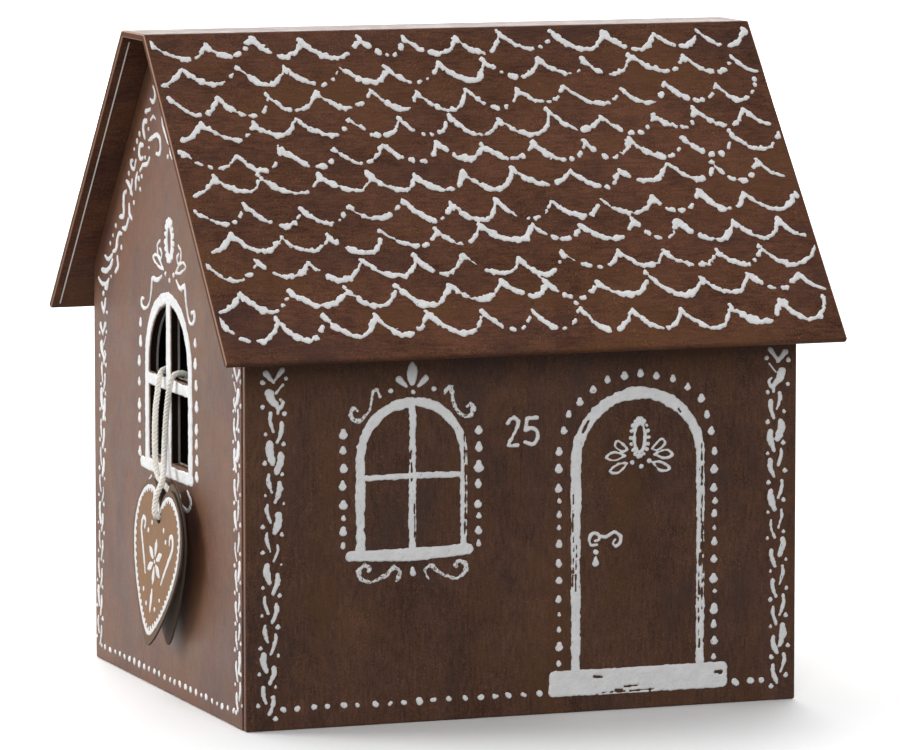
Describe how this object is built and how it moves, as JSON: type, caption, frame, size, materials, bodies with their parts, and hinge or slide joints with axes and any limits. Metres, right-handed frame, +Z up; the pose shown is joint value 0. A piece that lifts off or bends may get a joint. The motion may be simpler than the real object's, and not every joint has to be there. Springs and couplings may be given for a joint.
{
  "type": "toy gingerbread house",
  "caption": "Toy house of brown paper-covered board with white icing ornament, a scalloped gable roof, arched gable windows and heart tags on a cord.",
  "frame": {"origin": "on the ground under the middle of the house", "axes": "+X to the right along the front wall, +Y from the front to the back, +Z up"},
  "size_m": [0.2686, 0.2444, 0.2762],
  "materials": {
    "wall_paper": "satin printed paper on board",
    "roof_paper": "satin printed paper on board",
    "kraft": "matt kraft card",
    "cotton": "twisted cotton cord"
  },
  "bodies": {
    "root": {"base": "wall_paper", "wall_front": "wall_paper", "wall_back": "wall_paper", "gable_left": "wall_paper", "gable_right": "wall_paper", "roof_front": "roof_paper", "roof_back": "roof_paper", "roof_ridge": "roof_paper", "cord": "cotton", "cord_knot": "cotton", "tag_front": "kraft", "tag_back": "kraft"}
  },
  "joints": []
}
